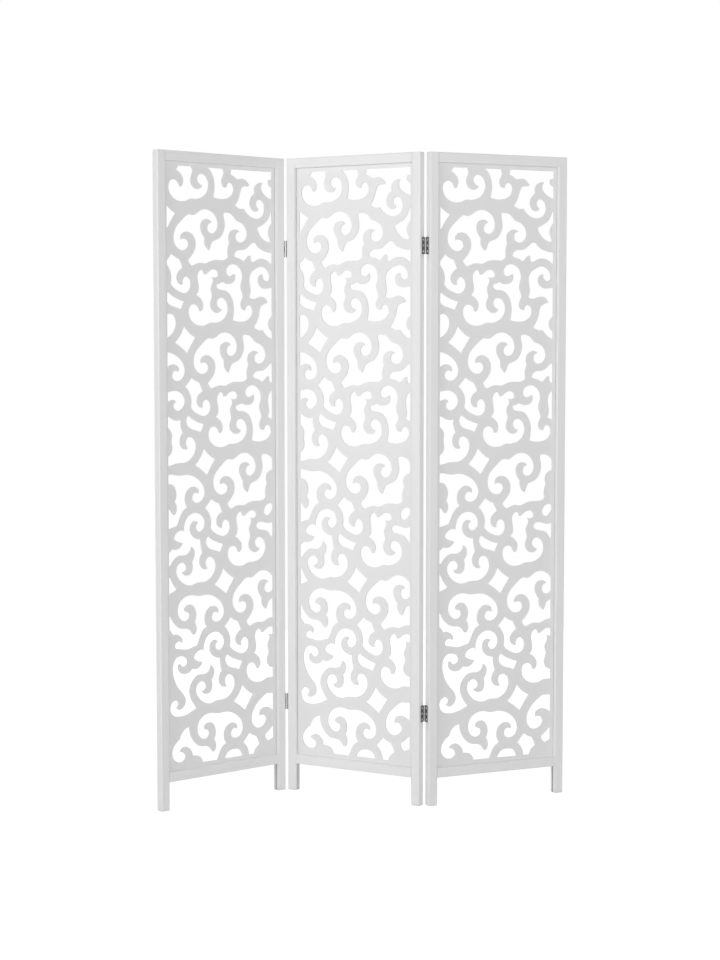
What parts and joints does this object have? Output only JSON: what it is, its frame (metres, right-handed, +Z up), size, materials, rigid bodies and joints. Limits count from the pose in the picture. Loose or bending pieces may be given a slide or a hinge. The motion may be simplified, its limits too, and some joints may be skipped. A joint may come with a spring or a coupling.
{
  "type": "folding screen",
  "caption": "Free-standing folding screen: white-painted wooden frames hold scroll-cut fretwork boards and swing on butt hinges into a zig-zag.",
  "frame": {"origin": "middle of the footprint's bounding box, on the floor", "axes": "+Z up along the posts, +Y from the side that the picture shows to the back, +X to the right"},
  "size_m": [1.073, 0.2702, 1.7],
  "materials": {
    "painted_wood": "satin white paint",
    "painted_board": "satin white paint",
    "dowel_wood": "bare beech",
    "hinge_steel": "dull plated",
    "screw_steel": "dull plated",
    "pin_steel": "dull"
  },
  "bodies": {
    "panel_left": {"left_left_post": "painted_wood", "left_right_post": "painted_wood", "left_top_rail": "painted_wood", "left_bottom_rail": "painted_wood", "left_fretwork": "painted_board", "left_dowels": "dowel_wood", "left_screws": "screw_steel", "left_upper_hinge_side_leaf": "hinge_steel", "left_lower_hinge_side_leaf": "hinge_steel"},
    "panel_center": {"center_left_post": "painted_wood", "center_right_post": "painted_wood", "center_top_rail": "painted_wood", "center_bottom_rail": "painted_wood", "center_fretwork": "painted_board", "center_dowels": "dowel_wood", "center_screws": "screw_steel", "left_upper_hinge_center_leaf": "hinge_steel", "left_upper_hinge_pin": "pin_steel", "left_lower_hinge_center_leaf": "hinge_steel", "left_lower_hinge_pin": "pin_steel", "right_upper_hinge_center_leaf": "hinge_steel", "right_upper_hinge_pin": "pin_steel", "right_lower_hinge_center_leaf": "hinge_steel", "right_lower_hinge_pin": "pin_steel"},
    "panel_right": {"right_left_post": "painted_wood", "right_right_post": "painted_wood", "right_top_rail": "painted_wood", "right_bottom_rail": "painted_wood", "right_fretwork": "painted_board", "right_dowels": "dowel_wood", "right_screws": "screw_steel", "right_upper_hinge_side_leaf": "hinge_steel", "right_lower_hinge_side_leaf": "hinge_steel"}
  },
  "joints": [
    {"name": "left_fold", "type": "hinge", "parent": "panel_center", "child": "panel_left", "pos_m": [-0.20912, 0.11566, 0.85], "axis": [0, 0, 1], "range_deg": [-67.55, 112.45]},
    {"name": "right_fold", "type": "hinge", "parent": "panel_center", "child": "panel_right", "pos_m": [0.15817, -0.05595, 0.85], "axis": [0, 0, 1], "range_deg": [-51.95, 128.05]}
  ]
}
